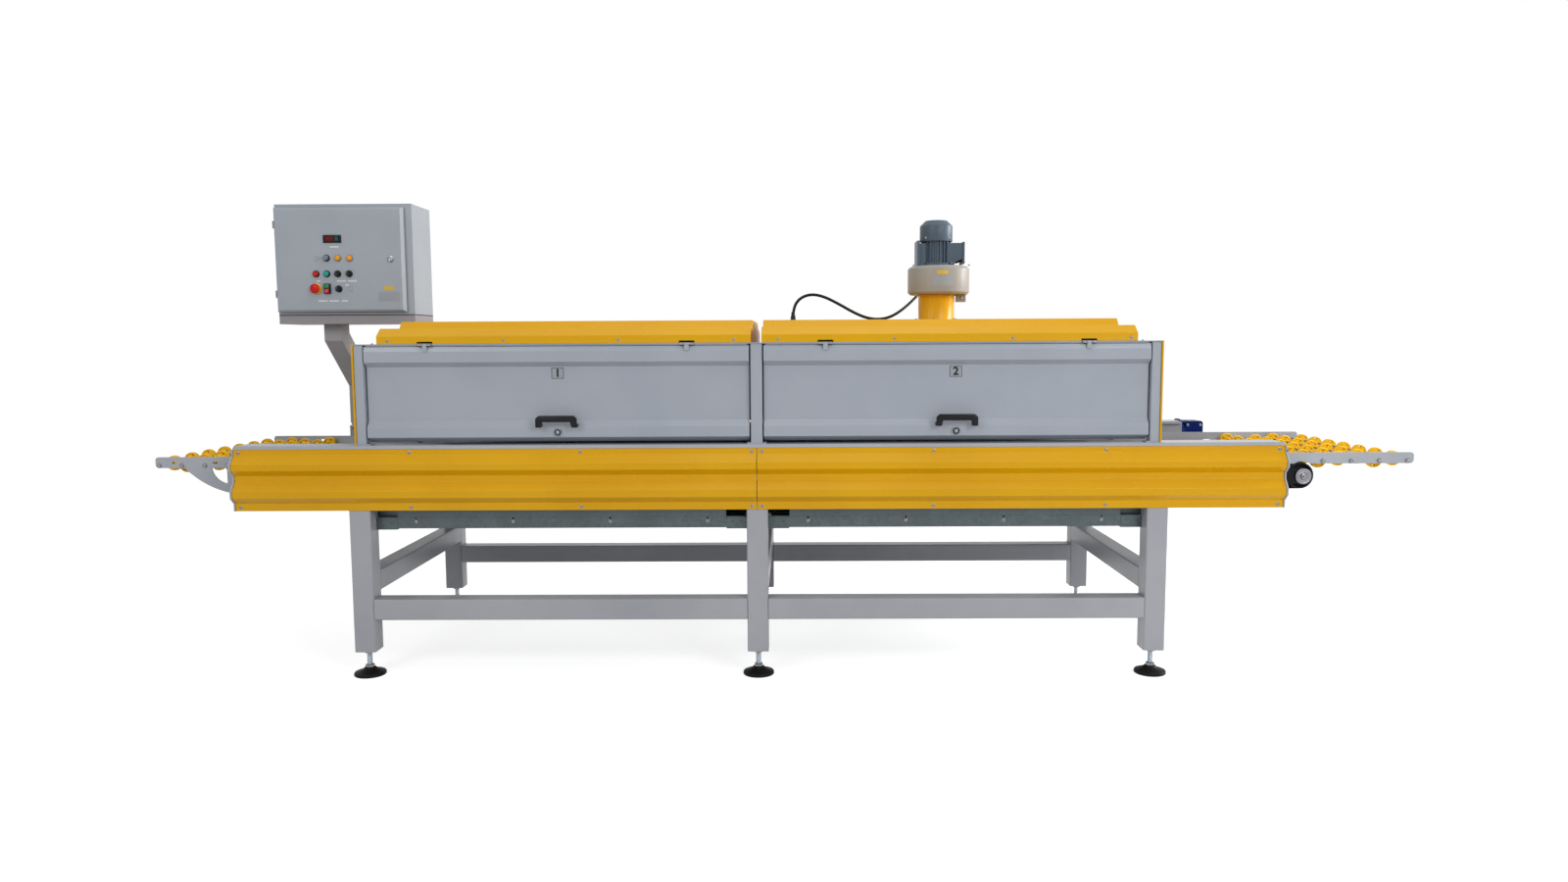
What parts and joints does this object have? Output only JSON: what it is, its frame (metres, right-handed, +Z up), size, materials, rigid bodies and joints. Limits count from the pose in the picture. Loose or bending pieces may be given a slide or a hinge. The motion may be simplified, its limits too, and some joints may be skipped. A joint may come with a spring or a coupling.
{
  "type": "infrared tunnel oven",
  "caption": "Conveyor tunnel oven: a mesh belt runs through a low hood with flap doors on a legged bed, with wheel tables, a roof blower and a control box on an arm.",
  "frame": {"origin": "floor level, under the middle of the bounding box", "axes": "+X along the belt from infeed to outfeed, +Y from the front (flap doors) to the back (drive), +Z up"},
  "size_m": [4.845, 1.335, 1.878],
  "materials": {
    "frame_grey": "light grey semi-gloss paint on steel tube",
    "orange_yellow": "orange-yellow semi-gloss powder coat on steel sheet",
    "hood_grey": "blue-grey semi-gloss powder coat on steel sheet",
    "trim_grey": "pale grey satin paint on steel bar",
    "galvanised": "dull galvanised steel sheet",
    "zinc": "bright zinc plate",
    "black_rubber": "matt black rubber",
    "belt_mesh": "dark teal coated glass-fibre mesh",
    "drum_steel": "turned steel",
    "black_steel": "black satin paint on steel plate",
    "plate_steel": "light grey paint on steel plate",
    "wheel_yellow": "yellow moulded plastic",
    "drive_blue": "deep blue gloss paint on cast iron",
    "casing_grey": "warm grey paint on cast aluminium",
    "motor_grey": "blue-grey gloss paint on cast aluminium",
    "black_cable": "black cable sheath",
    "arm_grey": "brownish grey paint on steel tube",
    "box_grey": "light grey fine-textured powder coat",
    "black_plastic": "black moulded plastic",
    "red_plastic": "red moulded plastic",
    "teal_plastic": "teal translucent plastic"
  },
  "bodies": {
    "machine": {"frame_legs": "frame_grey", "frame_stretchers": "frame_grey", "foot_pads": "black_rubber", "foot_studs": "zinc", "bed_beams": "frame_grey", "bed_lower_rails": "frame_grey", "bed_cross_beams": "frame_grey", "bed_top_trims": "trim_grey", "front_skirt": "orange_yellow", "rear_skirt": "orange_yellow", "skirt_end_plates": "trim_grey", "oven_posts": "hood_grey", "oven_deck": "trim_grey", "end_wall_left": "orange_yellow", "end_wall_right": "orange_yellow", "rear_panels": "hood_grey", "roof_cover_left": "orange_yellow", "roof_cover_right": "orange_yellow", "bottom_trays": "galvanised", "flap_hinges": "hood_grey", "mesh_belt": "belt_mesh", "drum_bearings": "black_steel", "gearbox": "drive_blue", "drive_motor": "drive_blue", "drive_bracket": "drive_blue", "infeed_rails": "plate_steel", "outfeed_rails": "plate_steel", "wheel_axles": "zinc", "blower_duct": "orange_yellow", "blower_housing": "casing_grey", "blower_motor": "motor_grey", "motor_cable": "black_cable", "cable_gland": "black_plastic", "control_arm": "arm_grey", "control_enclosure": "box_grey", "control_front_frame": "box_grey", "control_plinth": "box_grey"},
    "flap_door_left": {"flap_door_left": "hood_grey", "flap_fittings_left": "black_plastic"},
    "flap_door_right": {"flap_door_right": "hood_grey", "flap_fittings_right": "black_plastic"},
    "drive_drum": {"drive_drum": "drum_steel"},
    "tail_drum": {"tail_drum": "drum_steel"},
    "infeed_wheels_1": {"infeed_wheels_1": "wheel_yellow"},
    "infeed_wheels_2": {"infeed_wheels_2": "wheel_yellow"},
    "infeed_wheels_3": {"infeed_wheels_3": "wheel_yellow"},
    "infeed_wheels_4": {"infeed_wheels_4": "wheel_yellow"},
    "outfeed_wheels_1": {"outfeed_wheels_1": "wheel_yellow"},
    "outfeed_wheels_2": {"outfeed_wheels_2": "wheel_yellow"},
    "outfeed_wheels_3": {"outfeed_wheels_3": "wheel_yellow"},
    "outfeed_wheels_4": {"outfeed_wheels_4": "wheel_yellow"},
    "control_door": {"control_door": "box_grey", "control_fittings": "black_plastic"},
    "emergency_stop": {"emergency_stop": "red_plastic"},
    "push_button_red": {"push_button_red": "red_plastic"},
    "push_button_teal": {"push_button_teal": "teal_plastic"},
    "selector_1": {"selector_1": "black_plastic"},
    "selector_2": {"selector_2": "black_plastic"},
    "selector_3": {"selector_3": "black_plastic"},
    "speed_knob": {"speed_knob": "black_plastic"}
  },
  "joints": [
    {"name": "flap_door_left_hinge", "type": "hinge", "parent": "machine", "child": "flap_door_left", "pos_m": [-0.8295, -0.6405, 1.264], "axis": [-1, 0, 0], "range_deg": [0, 80]},
    {"name": "flap_door_right_hinge", "type": "hinge", "parent": "machine", "child": "flap_door_right", "pos_m": [0.6585, -0.6405, 1.264], "axis": [-1, 0, 0], "range_deg": [0, 80]},
    {"name": "drive_drum_spin", "type": "hinge", "parent": "machine", "child": "drive_drum", "pos_m": [1.9935, -0.0695, 0.75], "axis": [0, 1, 0], "continuous": true},
    {"name": "tail_drum_spin", "type": "hinge", "parent": "machine", "child": "tail_drum", "pos_m": [-1.9855, -0.0695, 0.75], "axis": [0, 1, 0], "continuous": true},
    {"name": "infeed_wheels_1_spin", "type": "hinge", "parent": "machine", "child": "infeed_wheels_1", "pos_m": [-2.1285, -0.0695, 0.806], "axis": [0, 1, 0], "continuous": true},
    {"name": "infeed_wheels_2_spin", "type": "hinge", "parent": "machine", "child": "infeed_wheels_2", "pos_m": [-2.2165, -0.0695, 0.806], "axis": [0, 1, 0], "continuous": true},
    {"name": "infeed_wheels_3_spin", "type": "hinge", "parent": "machine", "child": "infeed_wheels_3", "pos_m": [-2.3045, -0.0695, 0.806], "axis": [0, 1, 0], "continuous": true},
    {"name": "infeed_wheels_4_spin", "type": "hinge", "parent": "machine", "child": "infeed_wheels_4", "pos_m": [-2.3925, -0.0695, 0.806], "axis": [0, 1, 0], "continuous": true},
    {"name": "outfeed_wheels_1_spin", "type": "hinge", "parent": "machine", "child": "outfeed_wheels_1", "pos_m": [2.0715, -0.0695, 0.806], "axis": [0, 1, 0], "continuous": true},
    {"name": "outfeed_wheels_2_spin", "type": "hinge", "parent": "machine", "child": "outfeed_wheels_2", "pos_m": [2.1785, -0.0695, 0.806], "axis": [0, 1, 0], "continuous": true},
    {"name": "outfeed_wheels_3_spin", "type": "hinge", "parent": "machine", "child": "outfeed_wheels_3", "pos_m": [2.2855, -0.0695, 0.806], "axis": [0, 1, 0], "continuous": true},
    {"name": "outfeed_wheels_4_spin", "type": "hinge", "parent": "machine", "child": "outfeed_wheels_4", "pos_m": [2.3925, -0.0695, 0.806], "axis": [0, 1, 0], "continuous": true},
    {"name": "control_door_hinge", "type": "hinge", "parent": "machine", "child": "control_door", "pos_m": [-2.2085, 0.0795, 1.639], "axis": [0, 0, -1], "range_deg": [0, 120]},
    {"name": "emergency_stop_press", "type": "slide", "parent": "control_door", "child": "emergency_stop", "axis": [0, 1, 0], "range_m": [0, 0.001]},
    {"name": "push_button_red_press", "type": "slide", "parent": "control_door", "child": "push_button_red", "axis": [0, 1, 0], "range_m": [0, 0.001], "stiffness_N_per_m": 300},
    {"name": "push_button_teal_press", "type": "slide", "parent": "control_door", "child": "push_button_teal", "axis": [0, 1, 0], "range_m": [0, 0.001], "stiffness_N_per_m": 300},
    {"name": "selector_1_turn", "type": "hinge", "parent": "control_door", "child": "selector_1", "pos_m": [-1.9285, 0.0635, 1.575], "axis": [0, 1, 0], "range_deg": [0, 90]},
    {"name": "selector_2_turn", "type": "hinge", "parent": "control_door", "child": "selector_2", "pos_m": [-1.8785, 0.0635, 1.575], "axis": [0, 1, 0], "range_deg": [0, 90]},
    {"name": "selector_3_turn", "type": "hinge", "parent": "control_door", "child": "selector_3", "pos_m": [-1.9265, 0.0635, 1.51], "axis": [0, 1, 0], "range_deg": [0, 90]},
    {"name": "speed_knob_turn", "type": "hinge", "parent": "control_door", "child": "speed_knob", "pos_m": [-1.9755, 0.0635, 1.643], "axis": [0, 1, 0], "range_deg": [0, 270]}
  ],
  "couplings": [
    {"joint": "tail_drum_spin", "follows": "drive_drum_spin", "ratio": 1}
  ]
}
